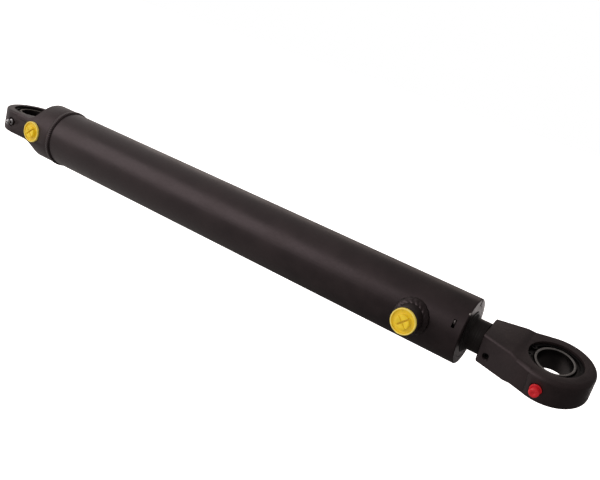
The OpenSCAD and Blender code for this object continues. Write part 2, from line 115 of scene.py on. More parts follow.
BARREL_FRAME = Matrix.Rotation(math.radians(90), 4, "Y")
BASE_EYE_FRAME = Matrix.Identity(4)
ROD_EYE_FRAME = Matrix.Translation(ROD_EYE_AT) @ Matrix.Rotation(ROD_EYE_TURN, 4, "X")
BASE_NIPPLE_FRAME = port_side(0.0, -BASE_NIPPLE_TOP)
ROD_NIPPLE_FRAME = ROD_EYE_FRAME @ port_side(ROD_NIPPLE_X, -ROD_NIPPLE_TOP)


# ---- shader building ----

def add_node(tree, kind, inputs=None, **settings):
    """Adds a node, with its settings, and a link or a constant on each input."""
    made = tree.nodes.new(kind)
    for key, value in settings.items():
        setattr(made, key, value)
    for key, value in (inputs or {}).items():
        if isinstance(value, bpy.types.NodeSocket):
            tree.links.new(value, made.inputs[key])
        else:
            made.inputs[key].default_value = value
    return made


class Paint:
    """One Principled material and the nodes that feed it, in object coordinates."""

    def __init__(self, name, colour, roughness, metallic=0.0, sockets=None):
        self.material = bpy.data.materials.new(name)
        self.material.use_nodes = True
        self.tree = self.material.node_tree
        self.tree.nodes.clear()
        self.shader = self.add("ShaderNodeBsdfPrincipled")
        self.add("ShaderNodeOutputMaterial", {"Surface": self.shader.outputs["BSDF"]})
        self.place = self.add("ShaderNodeTexCoord").outputs["Object"]
        self.normal = None
        self.set("Base Color", (*colour, 1.0))
        self.set("Roughness", roughness)
        self.set("Metallic", metallic)
        for socket, value in (sockets or {}).items():
            self.set(socket, value)

    def add(self, kind, inputs=None, **settings):
        return add_node(self.tree, kind, inputs, **settings)

    def set(self, socket, value):
        """Gives a Principled socket a constant or a link."""
        if isinstance(value, bpy.types.NodeSocket):
            self.tree.links.new(value, self.shader.inputs[socket])
        else:
            self.shader.inputs[socket].default_value = value

    def scaled(self, x, y, z):
        """Object coordinates, stretched by a factor on each axis."""
        return self.add("ShaderNodeMapping", {"Vector": self.place, "Scale": (x, y, z)}).outputs["Vector"]

    def along(self, axis):
        """The object coordinate on one axis, in metres."""
        return self.add("ShaderNodeSeparateXYZ", {0: self.place}).outputs[axis]

    def measure(self, operation, other):
        """The place's DISTANCE from another, or its DOT_PRODUCT with an axis, in metres."""
        made = self.add("ShaderNodeVectorMath", {0: self.place, 1: other}, operation=operation)
        return made.outputs["Value"]

    def noise(self, per_metre, detail=3.0, rough=0.5, place=None):
        """A cloudy pattern of 0..1, mostly between 0.3 and 0.7."""
        place = place or self.place
        inputs = {"Vector": place, "Scale": per_metre, "Detail": detail, "Roughness": rough}
        return self.add("ShaderNodeTexNoise", inputs).outputs["Fac"]

    def span(self, value, low, high, to_low=0.0, to_high=1.0):
        """Maps low..high smoothly to to_low..to_high, held at the ends."""
        inputs = {0: value, 1: low, 2: high, 3: to_low, 4: to_high}
        return self.add("ShaderNodeMapRange", inputs, interpolation_type="SMOOTHSTEP").outputs[0]

    def spread(self, pattern, low, high):
        """A noise pattern turned into values from low to high."""
        return self.span(pattern, 0.3, 0.7, low, high)

    def math(self, operation, first, second=0.0):
        return self.add("ShaderNodeMath", {0: first, 1: second}, operation=operation).outputs[0]

    def blend(self, factor, first, second):
        """Mixes two colours."""
        made = self.add("ShaderNodeMix", {"Factor": factor}, data_type="RGBA")
        for slot, value in (("A", first), ("B", second)):
            socket = next(s for s in made.inputs if s.name == slot and s.type == "RGBA")
            if isinstance(value, bpy.types.NodeSocket):
                self.tree.links.new(value, socket)
            else:
                socket.default_value = (*value, 1.0)
        return next(s for s in made.outputs if s.type == "RGBA")

    def bump(self, height, depth):
        """Adds relief: height 0..1 stands for depth metres."""
        inputs = {"Height": height, "Distance": depth, "Strength": 1.0}
        if self.normal:
            inputs["Normal"] = self.normal
        self.normal = self.add("ShaderNodeBump", inputs).outputs["Normal"]
        self.set("Normal", self.normal)


def tinted(colour, factor):
    """A colour made darker or paler by a factor."""
    return tuple(factor * part for part in colour)


# ---- materials ----

BLACK_DEEP = (0.0072, 0.0052, 0.0052)
BLACK_PALE = (0.0135, 0.0098, 0.0096)
PAINT_SHEEN = (1.0, 0.84, 0.90, 1.0)
# the bare steel of the painted glint on the tube's front edge
GLINT_CHIP_STEEL = (0.80, 0.78, 0.76)
# the black of the painted shade that fills the tube's notch
NOTCH_SHADE_BLACK = (0.006, 0.005, 0.005)

# painted glint: a chip of bare steel on the tube's front chamfer, where the key light catches the edge
GLINT_CHIP_ANGLE = math.radians(46.0)
GLINT_CHIP_RADIUS = 0.99 * TUBE_RADIUS
GLINT_CHIP_AT = MM * Vector((
    TUBE_FRONT, -GLINT_CHIP_RADIUS * math.cos(GLINT_CHIP_ANGLE), GLINT_CHIP_RADIUS * math.sin(GLINT_CHIP_ANGLE)))
GLINT_CHIP_SIZE = 1.9 * MM
GLINT_CHIP_FADE = 0.3 * MM
GLINT_CHIP_RAGGED = 1.5 * MM
NOTCH_OUT = (0.0, math.cos(NOTCH_ANGLE), math.sin(NOTCH_ANGLE))
NOTCH_ACROSS = (0.0, -math.sin(NOTCH_ANGLE), math.cos(NOTCH_ANGLE))
NOTCH_SHADE_MARGIN = 0.05          # how far the painted shade spreads past the notch, in millimetres


def front_glint_and_notch_shade(paint, coat):
    """The tube's front edge: a bare-steel chip worn through the paint, placed as a painted glint where the
    key light catches the edge, and painted shade that blacks out the notch.
    """
    # painted glint: a ragged patch of bare steel round the chip's middle
    away = paint.measure("DISTANCE", GLINT_CHIP_AT)
    ragged = paint.math("ADD", away, paint.math("MULTIPLY", paint.noise(900.0), GLINT_CHIP_RAGGED))
    glint_chip = paint.span(ragged, GLINT_CHIP_SIZE + GLINT_CHIP_FADE, GLINT_CHIP_SIZE)
    # painted shade: the notch's walls, from its floor to the tube's front, are painted black
    across = paint.math("ABSOLUTE", paint.measure("DOT_PRODUCT", NOTCH_ACROSS))
    inside = paint.math("LESS_THAN", across, MM * (NOTCH_HALF + NOTCH_SHADE_MARGIN))
    behind = MM * (TUBE_FRONT - NOTCH_DEPTH - NOTCH_SHADE_MARGIN)
    ahead = paint.math("GREATER_THAN", paint.along("X"), behind)
    upper = paint.math("GREATER_THAN", paint.measure("DOT_PRODUCT", NOTCH_OUT), 0.0)
    notch_shade = paint.math("MULTIPLY", paint.math("MULTIPLY", inside, ahead), upper)
    # the chip is bare metal; the notch's painted shade is black metal, so it reflects nothing
    paint.set("Metallic", paint.math("MAXIMUM", glint_chip, notch_shade))
    return paint.blend(notch_shade, paint.blend(glint_chip, coat, GLINT_CHIP_STEEL), NOTCH_SHADE_BLACK)


def black_paint(name, skin_scale, skin_depth, gloss, pale=1.0, front_glint_and_shade=False):
    """Satin black enamel. The skin is the unevenness of the steel under it."""
    paint = Paint(name, BLACK_DEEP, gloss, sockets={"Specular Tint": PAINT_SHEEN})
    cloud = paint.noise(28.0, detail=4.0, rough=0.6)
    coat = paint.blend(paint.span(cloud, 0.35, 0.68), tinted(BLACK_DEEP, pale), tinted(BLACK_PALE, pale))
    mist = paint.noise(420.0, detail=2.0)
    soft = paint.spread(cloud, gloss - 0.05, gloss + 0.05)
    paint.set("Roughness", paint.math("ADD", soft, paint.spread(mist, -0.03, 0.03)))
    # on the tube, the front edge also gets a painted glint and the notch gets painted shade
    paint.set("Base Color", front_glint_and_notch_shade(paint, coat) if front_glint_and_shade else coat)
    paint.bump(paint.noise(skin_scale, rough=0.55), skin_depth)
    paint.bump(paint.noise(1500.0, detail=1.0), 0.012 * MM)
    return paint.material


def turned_steel(name, colour, roughness, lines_per_metre):
    """Steel with fine lathe lines along its turning axis."""
    paint = Paint(name, colour, roughness, 1.0)
    lines = paint.noise(1.0, detail=2.0, place=paint.scaled(lines_per_metre, 6.0, 6.0))
    paint.set("Roughness", paint.spread(lines, roughness - 0.06, roughness + 0.08))
    paint.bump(lines, 0.01 * MM)
    return paint.material


def ground_steel(name, colour, roughness):
    """Hardened steel, ground and lightly oiled."""
    paint = Paint(name, colour, roughness, 1.0)
    oil = paint.noise(90.0, detail=4.0, rough=0.6)
    paint.set("Base Color", paint.blend(paint.span(oil, 0.35, 0.7), colour, tinted(colour, 0.72)))
    marks = paint.noise(1.0, detail=2.0, place=paint.scaled(300.0, 300.0, 3000.0))
    paint.set("Roughness", paint.spread(marks, roughness - 0.06, roughness + 0.08))
    paint.bump(marks, 0.006 * MM)
    return paint.material


def moulded_plastic(name, colour, roughness):
    """Injection-moulded plastic, faintly uneven and soft to light."""
    paint = Paint(name, colour, roughness, sockets={
        "Subsurface Weight": 0.05,
        "Subsurface Radius": (0.003, 0.002, 0.0005),
        "Subsurface Scale": 0.4,
    })
    cloud = paint.noise(260.0, rough=0.6)
    paint.set("Base Color", paint.blend(paint.span(cloud, 0.35, 0.65), colour, tinted(colour, 0.86)))
    paint.set("Roughness", paint.spread(paint.noise(900.0), roughness - 0.06, roughness + 0.08))
    paint.bump(paint.noise(1400.0, detail=2.0), 0.02 * MM)
    return paint.material


def rubber(name, colour, roughness):
    """Rubber with a faint pale bloom."""
    paint = Paint(name, colour, roughness, sockets={"Specular IOR Level": 0.3})
    bloom = paint.noise(300.0, rough=0.6)
    pale = tuple(1.9 * part + 0.004 for part in colour)
    paint.set("Base Color", paint.blend(paint.span(bloom, 0.45, 0.75), colour, pale))
    paint.set("Roughness", paint.spread(bloom, roughness - 0.08, roughness + 0.08))
    paint.bump(paint.noise(2500.0, detail=2.0), 0.015 * MM)
    return paint.material


def woven_tape(name, colour):
    """Fabric-filled guide tape: two crossed rows of threads."""
    paint = Paint(name, colour, 0.6)
    waves = []
    for axis in ("X", "DIAGONAL"):
        inputs = {"Vector": paint.place, "Scale": 260.0, "Distortion": 0.6}
        waves.append(paint.add("ShaderNodeTexWave", inputs, bands_direction=axis).outputs["Fac"])
    weave = paint.math("MULTIPLY", *waves)
    paint.set("Base Color", paint.blend(weave, tinted(colour, 0.6), colour))
    paint.bump(weave, 0.05 * MM)
    return paint.material


def chromed_rod(name, painted_from):
    """Hard chrome, over-sprayed black from painted_from onwards, where the retracted rod stuck out."""
    paint = Paint(name, (0.72, 0.73, 0.75), 0.12, 1.0, {"Specular IOR Level": 0.3})
    ragged = paint.math("MULTIPLY", paint.noise(500.0), 1.6 * MM)
    x = paint.math("ADD", paint.along("X"), ragged)
    covered = paint.span(x, painted_from, painted_from + 1.2 * MM)
    chrome = paint.blend(paint.noise(40.0), (0.66, 0.67, 0.69), (0.76, 0.77, 0.79))
    paint.set("Base Color", paint.blend(covered, chrome, BLACK_DEEP))
    paint.set("Metallic", paint.span(covered, 0.0, 1.0, 1.0, 0.0))
    lines = paint.noise(1.0, detail=2.0, place=paint.scaled(5000.0, 4.0, 4.0))
    coat = paint.span(covered, 0.0, 1.0, 0.0, 0.26)
    paint.set("Roughness", paint.math("ADD", paint.spread(lines, 0.07, 0.16), coat))
    paint.bump(lines, 0.002 * MM)
    rings = paint.noise(1.0, detail=1.0, place=paint.scaled(900.0, 2.0, 2.0))
    paint.bump(paint.math("MULTIPLY", rings, covered), 0.35 * MM)
    return paint.material


# maker, then what it is given after the name
RECIPES = {
    # the tube's paint carries the painted glint on its front edge and the painted shade in its notch
    "tube_paint": (black_paint, 160.0, 0.05 * MM, 0.36, 1.0, True),
    # the gland's own paint, without the notch's painted shade
    "gland_paint": (black_paint, 200.0, 0.03 * MM, 0.36),
    "forging_paint": (black_paint, 330.0, 0.12 * MM, 0.42, 1.4),
    "weld_paint": (black_paint, 700.0, 0.08 * MM, 0.30),
    "bearing_steel": (ground_steel, (0.36, 0.35, 0.34), 0.32),
    "race_steel": (ground_steel, (0.055, 0.05, 0.05), 0.36),
    # a darker copy of the ring-face steel, for the base bearing
    "oiled_steel": (ground_steel, (0.10, 0.088, 0.07), 0.40),
    "spring_steel": (ground_steel, (0.045, 0.043, 0.044), 0.42),
    "lock_wire": (ground_steel, (0.16, 0.15, 0.15), 0.35),
    "zinc_steel": (ground_steel, (0.74, 0.75, 0.77), 0.24),
    "machined_steel": (turned_steel, (0.55, 0.55, 0.56), 0.3, 2200.0),
    "chromed_rod": (chromed_rod, MM * (TUBE_FRONT - 0.5)),
    "nitrile": (rubber, (0.012, 0.012, 0.013), 0.5),
    "wiper_rubber": (rubber, (0.006, 0.005, 0.005), 0.5),
    "polyurethane": (moulded_plastic, (0.02, 0.07, 0.19), 0.35),
    "ptfe": (moulded_plastic, (0.78, 0.77, 0.73), 0.4),
    "guide_tape": (woven_tape, (0.20, 0.115, 0.05)),
    "yellow_plastic": (moulded_plastic, (0.90, 0.66, 0.022), 0.34),
    "yellow_rim": (moulded_plastic, (0.92, 0.75, 0.14), 0.38),
    "red_plastic": (moulded_plastic, (0.62, 0.012, 0.020), 0.3),
}

# the CAD nodes that stay in sight; a piece below stands for every other one
SHOWN_NODES = {
    "barrel_tube": "tube_paint",
    "gland": "gland_paint",
    "rod_seal": "polyurethane",
    "base_bearing_circlips": "spring_steel",
    "rod_bearing_circlips": "spring_steel",
    "base_nipple_check_ball": "bearing_steel",
    "rod_nipple_check_ball": "bearing_steel",
    "piston": "machined_steel",
    "piston_wear_rings": "guide_tape",
    "piston_nut": "machined_steel",
    "rod_eye_set_screw": "spring_steel",
}


def dress_cad():
    for node, kind in SHOWN_NODES.items():
        mesh = frame["nodes"][node].data
        mesh.materials.clear()
        mesh.materials.append(MATERIALS[kind])


# ---- mesh building ----

def rounded(corners, radii, steps=4):
    """The closed outline through corners, in millimetres, each rounded on its own radius."""
    outline = []
    count = len(corners)
    for i, corner in enumerate(corners):
        here = Vector(corner)
        radius = radii[i] if isinstance(radii, (list, tuple)) else radii
        back = Vector(corners[i - 1]) - here
        ahead = Vector(corners[(i + 1) % count]) - here
        reach = min(radius, 0.49 * back.length, 0.49 * ahead.length)
        if reach <= 0:
            outline.append(here)
            continue
        start, end = here + reach * back.normalized(), here + reach * ahead.normalized()
        for k in range(steps + 1):
            t = k / steps
            outline.append((1 - t) ** 2 * start + 2 * t * (1 - t) * here + t * t * end)
    return outline


def divided(outline, parts):
    """The open outline with each stretch cut into parts(start, end) pieces."""
    fine = []
    for here, ahead in zip(outline, outline[1:]):
        count = parts(here, ahead)
        fine += [here.lerp(ahead, k / count) for k in range(count)]
    return fine + [outline[-1]]


def shade(mesh):
    """Smooth shading with sharp edges kept."""
    mesh.shade_smooth()
    mesh.set_sharp_from_angle(angle=SHARP_ANGLE)


def new_piece(name, mesh):
    piece = bpy.data.objects.new(name, mesh)
    bpy.context.scene.collection.objects.link(piece)
    return piece


def grid(name, rows, columns, point, material, closed=True):
    """A mesh round a full turn: point(row, turn) gives each vertex. Open grids end in a cap."""
    turns = [math.tau * j / columns for j in range(columns)]
    vertices = [tuple(point(i, turn)) for i in range(rows) for turn in turns]
    faces = []
    for i in range(rows if closed else rows - 1):
        low, high = i * columns, (i + 1) % rows * columns
        for j in range(columns):
            k = (j + 1) % columns
            faces.append((low + j, low + k, high + k, high + j))
    if not closed:
        faces.append(tuple(range(columns)))
        faces.append(tuple(range((rows - 1) * columns, rows * columns)))
    mesh = bpy.data.meshes.new(name)
    mesh.from_pydata(vertices, [], faces)
    work = bmesh.new()
    work.from_mesh(mesh)
    bmesh.ops.recalc_face_normals(work, faces=work.faces)
    work.to_mesh(mesh)
    work.free()
    shade(mesh)
    mesh.materials.append(MATERIALS[material])
    return new_piece(name, mesh)


def lathe(name, outline, place, material, columns=96, closed=True, swell=None):
    """Turns an outline of (distance along, radius), in millimetres, about the Z axis of place."""
    def point(i, turn):
        along, radius = outline[i]
        if swell:
            along, radius = swell(along, radius, turn)
        return place @ (MM * Vector((radius * math.cos(turn), radius * math.sin(turn), along)))
    return grid(name, len(outline), columns, point, material, closed)


def repaint(piece, material, chosen):
    """Gives a second material to the faces that chosen(face) picks."""
    piece.data.materials.append(MATERIALS[material])
    for face in piece.data.polygons:
        if chosen(face):
            face.material_index = 1


def mount(piece, node, body, slot):
    """The piece stands for a CAD node, on its body. Its slot is not used."""
    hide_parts(node)
    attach(piece, body)


def ridge(value):
    """A wave of 0..1 with a sharp valley and a round crest, once per unit."""
    return abs(math.sin(math.pi * value))


def thread_depth(along, pitch, depth):
    """How far the thread cuts in at this place. Plain rings stand in for its helix."""
    return depth * abs(2 * (along / pitch % 1.0) - 1)


# ---- barrel pieces ----

def base_weld():
    """The weld between tube and base end, laid in overlapping scales."""
    outline = rounded([
        (64.0, 28.6), (67.0, 31.4), (67.9, 31.5), (67.0, 32.5), (65.3, 33.3),
        (63.2, 33.3), (61.9, 33.0), (61.5, 32.5), (62.5, 30.6)
    ], 0.8, 3)
    middle, half_width, buried = 64.6, 3.2, 31.6
    scales, scale_depth, wander = 88, 0.34, 0.12

    def swell(along, radius, turn):
        if radius < buried:
            return along, radius
        bend = ((along - middle) / half_width) ** 2
        crest = ridge(turn / math.tau * scales + 0.4 * bend)
        drift = noise.noise(Vector((3 * math.cos(turn), 3 * math.sin(turn), 0.0)))
        return along + 0.25 * drift, radius - scale_depth * (1 - crest) + wander * drift
    weld = lathe("base_weld", outline, BARREL_FRAME, "weld_paint", 8 * scales, swell=swell)
    mount(weld, "base_weld_bead", "barrel", "black_paint")


def over_tube(x, z, height):
    """A point over the tube's port side, height millimetres above its skin."""
    skin = math.sqrt(TUBE_RADIUS ** 2 - z * z)
    return MM * Vector((x, -skin - height, z))


def boss_weld():
    """The fillet weld round the port boss, following the tube's curve."""
    steps, scales = 9, 19
    foot, rise, buried = 4.5, 4.2, -0.8

    def point(i, turn):
        across = i / steps
        drift = noise.noise(Vector((2 * math.cos(turn), 2 * math.sin(turn), 5.0)))
        phase = turn / math.tau * scales - 0.35 * math.cos(math.tau * (across - 0.5))
        size = 0.88 + 0.12 * ridge(phase) ** 0.6 + 0.12 * drift
        if i <= steps:
            reach = foot * size * math.sin(0.5 * math.pi * across)
            height = rise * size * math.cos(0.5 * math.pi * across) ** 0.85 - 0.25 * across
        elif i == steps + 1:
            reach, height = foot - 0.3, buried
        else:
            reach, height = -0.6, buried
        radius = BOSS_RADIUS - 0.2 + reach
        return over_tube(ROD_PORT_X + radius * math.cos(turn), radius * math.sin(turn), height)
    weld = grid("boss_weld", steps + 3, 10 * scales, point, "weld_paint")
    mount(weld, "rod_port_weld_bead", "barrel", "black_paint")


def port_boss():
    """The welded port boss: chamfered rim, threaded bore, oil hole."""
    thread_end = BOSS_TOP - THREAD_LENGTH
    outline = rounded([
        (0.0, BOSS_RADIUS), (BOSS_TOP, BOSS_RADIUS), (BOSS_TOP, THREAD_RADIUS + 0.9),
        (BOSS_TOP - 1.0, THREAD_RADIUS), (thread_end, THREAD_RADIUS),
        (thread_end, OIL_RADIUS), (0.0, OIL_RADIUS)
    ], [0.0, 0.9, 0.15, 0.1, 0.2, 0.3, 0.0], 3)
    foot_below_skin = 0.3

    def parts(here, ahead):
        run = here.x - ahead.x
        return int(8 * run / PORT_PITCH) if abs(here.y - THREAD_RADIUS) < TOUCH and run > 5 else 1
    fine = divided(outline, parts)

    def point(i, turn):
        height, radius = fine[i]
        if height > thread_end and abs(radius - THREAD_RADIUS) < TOUCH:
            radius -= thread_depth(height, PORT_PITCH, 0.8)
        x, z = ROD_PORT_X + radius * math.cos(turn), radius * math.sin(turn)
        if height == 0.0:
            return over_tube(x, z, -foot_below_skin)
        return MM * Vector((x, -height, z))
    boss = grid("port_boss", len(fine), 96, point, "forging_paint")
    mount(boss, "rod_port_boss", "barrel", "black_paint")


def wiper():
    """The wiper ring: body in the gland, rounded shoulder, and the lip round the rod."""
    outline = rounded([
        (-6.0, 15.7), (-6.0, 19.65), (-0.2, 19.65), (0.75, 19.1), (1.0, 17.8),
        (1.9, 17.1), (3.2, 15.9), (3.2, 15.1), (-4.0, 15.1)
    ], [0.2, 0.2, 0.3, 0.3, 0.3, 0.5, 0.2, 0.1, 0.3], 4)
    outline = [Vector((TUBE_FRONT + p.x, p.y)) for p in outline]
    ring = lathe("wiper_ring", outline, BARREL_FRAME, "wiper_rubber")
    mount(ring, "rod_wiper", "barrel", "wiper_rubber")


def lock_wire():
    """The gland's lock wire: a round wire in its groove, its end turned up into the window."""
    x = TUBE_FRONT - 8.8
    thick, blunt = 1.35, 0.75
    groove, start_angle, step = 24.975, 12.0, 3.0
    # radius in millimetres and angle in degrees from the port side, up the hook and round the groove
    path = [(30.2, 27.0), (30.2, 25.0), (29.8, 22.6), (28.9, 20.2), (27.4, 18.2), (26.0, 16.4), (25.2, 14.2)]
    path += [(groove, start_angle - step * k) for k in range(109)]
    spots = [Vector((x, -r * math.cos(math.radians(a)), r * math.sin(math.radians(a)))) for r, a in path]
    last = len(spots) - 1

    def point(i, turn):
        ahead = spots[min(i + 1, last)] - spots[max(i - 1, 0)]
        across = Vector((1.0, 0.0, 0.0))
        outward = ahead.cross(across).normalized()
        radial = math.cos(turn) * across + math.sin(turn) * outward
        return MM * (spots[i] + thick * (blunt if i in (0, last) else 1.0) * radial)
    wire = grid("lock_wire_hook", len(spots), 16, point, "lock_wire", closed=False)
    mount(wire, "gland_lock_wire", "barrel", "spring_steel")


# name, CAD node, body, slot and material, inner radius, edge rounding; millimetres
SEAL_RINGS = (
    ("gland_o_ring_round", "gland_o_ring", "barrel", "nitrile", 22.35, 1.3),
    ("backup_ring_flat", "gland_backup_ring", "barrel", "ptfe", 22.35, 0.15),
    ("guide_ring_tape", "rod_guide_ring", "barrel", "guide_tape", 15.05, 0.4),
    ("piston_seal_cap", "piston_seal", "piston", "polyurethane", 22.4, 0.5),
    ("piston_energiser_ring", "piston_seal_energiser", "piston", "nitrile", 19.6, 0.9),
    ("piston_o_ring_round", "piston_o_ring", "piston", "nitrile", 11.05, 1.1),
)


def seal_rings():
    """The round-edged rings, each as wide and as high as its CAD node."""
    for name, node, body, slot, inner, edge in SEAL_RINGS:
        low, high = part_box(node)
        x0, x1, outer = low.x / MM, high.x / MM, high.z / MM
        corners = [(x0, inner), (x1, inner), (x1, outer), (x0, outer)]
        ring = lathe(name, rounded(corners, edge, 5), BARREL_FRAME, slot)
        mount(ring, node, body, slot)


# ---- transport plugs ----

def raised_quarter(radius, gap_u, gap_v, low, high, edge):
    """One quarter of the raised centre, as stacked outlines that turn over at the top."""
    start = math.asin(gap_v / radius)
    end = math.acos(gap_u / radius)
    angles = [start + (end - start) * k / 10 for k in range(11)]
    arc = [(radius * math.cos(angle), radius * math.sin(angle)) for angle in angles]
    outline = rounded([(gap_u, gap_v)] + arc, 0.25, 3)
    middle = sum(outline, Vector((0.0, 0.0))) / len(outline)
    layers = []
    for k in range(6):
        turn = 0.5 * math.pi * max(k - 1, 0) / 4
        inset = edge * (1 - math.cos(turn))
        height = low if k == 0 else high - edge * (1 - math.sin(turn))
        layers.append([(p + (middle - p).normalized() * inset, height) for p in outline])
    return layers


def add_stack(work, layers, place):
    """Adds stacked outlines to a bmesh as one closed solid."""
    rows = [[work.verts.new(place @ (MM * Vector((p.x, p.y, h)))) for p, h in layer] for layer in layers]
    for low, high in zip(rows, rows[1:]):
        for j in range(len(low)):
            k = (j + 1) % len(low)
            work.faces.new((low[j], low[k], high[k], high[j]))
    work.faces.new(rows[0])
    work.faces.new(rows[-1])


def transport_plug(name, place, node):
    """A moulded plug: dished flange, raised slotted centre, hollow threaded shank."""
    shank = THREAD_RADIUS - 0.08
    outline = rounded([
        (2.2, 0.05), (2.2, 5.6), (0.9, 6.8), (0.9, 10.2), (2.5, 10.75), (2.5, 11.9),
        (0.0, 11.9), (0.0, shank), (-9.0, shank), (-9.0, 6.45), (-1.0, 6.45), (-1.0, 0.05)
    ], [0.0, 0.4, 0.5, 0.5, 0.35, 0.45, 0.3, 0.05, 0.4, 0.3, 0.5, 0.0], 4)
    rim_inside, rim_outside, grips, grip_depth = 10.5, 11.6, 60, 0.12
    centre_radius, centre_low, centre_high, centre_edge = 6.6, 0.5, 4.5, 0.45
    slot_half, cross_half = 0.35, 0.7
    bridge = [Vector(p) for p in ((0.6, -0.5), (6.2, -0.5), (6.2, 0.5), (0.6, 0.5))]
    bridge_low, bridge_high = 1.9, 3.7

    def parts(here, ahead):
        return 50 if abs(here.y - shank) < TOUCH and here.x - ahead.x > 5 else 1

    def swell(along, radius, turn):
        if abs(radius - shank) < TOUCH and along < -0.5:
            radius -= thread_depth(along, PORT_PITCH, 0.75)
        if radius > rim_outside and 0.3 < along < 2.2:
            radius -= grip_depth * (1 - ridge(turn / math.tau * grips))
        return along, radius
    fine = divided(outline, parts)
    plug = lathe(name, fine, place, "yellow_plastic", 180, closed=False, swell=swell)
    work = bmesh.new()
    work.from_mesh(plug.data)
    for k in range(4):
        turned = place @ Matrix.Rotation(PLUG_TURN + k * math.pi / 2, 4, "Z")
        gaps = (cross_half, slot_half) if k % 2 else (slot_half, cross_half)
        add_stack(work, raised_quarter(centre_radius, *gaps, centre_low, centre_high, centre_edge), turned)
        if k % 2:
            add_stack(work, [[(p, h) for p in bridge] for h in (bridge_low, bridge_high)], turned)
    bmesh.ops.recalc_face_normals(work, faces=work.faces)
    work.to_mesh(plug.data)
    work.free()
    back = place.inverted()

    def on_rim(face):
        spot = back @ face.center
        return spot.z > 0.5 * MM and math.hypot(spot.x, spot.y) > rim_inside * MM
    repaint(plug, "yellow_rim", on_rim)
    shade(plug.data)
    mount(plug, node, node, "yellow_plastic")


# ---- bearings ----

def sphere_arc(radius, half_width, inside):
    """The sphere's outline from +half_width to -half_width: 24 steps, ends left out if inside."""
    top = math.asin(half_width / radius)
    angles = [top * (1 - 2 * k / 24) for k in (range(1, 24) if inside else range(25))]
    return [(radius * math.sin(angle), radius * math.cos(angle)) for angle in angles]


def bearing(end, body, place, tilt, face_steel):
    """Chamfered rings of one spherical bearing; its inner ring rests at a slight tilt."""
    face_radius = math.sqrt(SPHERE_RADIUS ** 2 - BALL_HALF ** 2) - 0.05
    ball = [(-BALL_HALF, PIN_RADIUS), (BALL_HALF, PIN_RADIUS), (BALL_HALF, face_radius)]
    ball += sphere_arc(SPHERE_RADIUS, BALL_HALF, True) + [(-BALL_HALF, face_radius)]
    edges = [1.3, 1.3, 0.15] + [0.0] * 23 + [0.15]
    inner = lathe(f"{end}_ball", rounded(ball, edges, 2), place @ tilt, "race_steel")
    axis = (place @ tilt).to_3x3() @ Vector((0.0, 0.0, 1.0))
    repaint(inner, face_steel, lambda face: abs(face.normal.dot(axis)) > 0.9)
    mount(inner, f"{end}_bearing_inner_ring", f"{end}_ball", "bearing_steel")

    clearance, groove_half, groove_depth = 0.1, 1.5, 0.7
    groove = RACE_RADIUS - groove_depth
    race = [(-RACE_HALF, RACE_RADIUS), (-groove_half, RACE_RADIUS), (-groove_half, groove),
            (groove_half, groove), (groove_half, RACE_RADIUS), (RACE_HALF, RACE_RADIUS)]
    race += sphere_arc(SPHERE_RADIUS + clearance, RACE_HALF, False)
    edges = [0.5, 0.1, 0.2, 0.2, 0.1, 0.5, 0.3] + [0.0] * 23 + [0.3]
    outer = lathe(f"{end}_race", rounded(race, edges, 2), place, "race_steel")
    mount(outer, f"{end}_bearing_outer_ring", body, "bearing_steel")


# ---- grease nipples and the cap ----

def grease_nipple(name, place, node, body, painted_hex):
    """Threaded shank, chamfered hexagon, waisted neck and rounded head."""
    outline = rounded([
        (-4.6, 1.2), (-4.6, 2.7), (-4.3, 2.95), (0.0, 2.95), (0.0, 3.9), (2.5, 3.9),
        (2.5, 3.2), (3.7, 2.0), (4.7, 2.0), (6.1, 3.2), (7.1, 3.2), (8.9, 1.6), (8.9, 0.8), (7.6, 0.8)
    ], [0.0, 0.1, 0.1, 0.05, 0.1, 0.1, 0.1, 0.5, 0.5, 0.3, 0.4, 0.35, 0.1, 0.2], 4)
    shank, pitch, hex_half, hex_height, hex_bevel = 2.9, 1.0, 3.5, 2.5, 3.72
    fine = divided(outline, lambda here, ahead: 24 if ahead.x - here.x > 3.5 else 1)

    def swell(along, radius, turn):
        if along < -0.3 and radius > shank:
            radius -= thread_depth(along, pitch, 0.4)
        if -TOUCH < along < hex_height + TOUCH and radius > 3.3:
            flat = hex_half / math.cos(turn % (math.pi / 3) - math.pi / 6)
            radius = min(flat, hex_bevel + 1.1 * min(along, hex_height - along))
        return along, radius
    nipple = lathe(name, fine, place, "zinc_steel", 96, swell=swell)
    if painted_hex:
        back = place.inverted()
        painted_top = 2.6 * MM
        repaint(nipple, "forging_paint", lambda face: (back @ face.center).z < painted_top)
    mount(nipple, node, body, "zinc_steel")


def nipple_cap():
    """The red dust cap: soft lip, straight side, rounded crown with a moulded dimple."""
    outline = rounded([
        (9.1, 0.05), (9.1, 3.4), (2.75, 3.4), (2.75, 5.0), (3.9, 5.0), (4.3, 4.55), (8.6, 4.4),
        (9.8, 3.6), (9.8, 1.7), (9.3, 1.0), (9.28, 0.05)
    ], [0.0, 0.5, 0.2, 0.3, 0.3, 0.3, 0.8, 0.9, 0.4, 0.3, 0.0], 5)
    cap = lathe("nipple_dust_cap", outline, ROD_NIPPLE_FRAME, "red_plastic", 96, closed=False)
    mount(cap, "rod_nipple_cap", "nipple_cap", "red_plastic")


# ---- rod ----

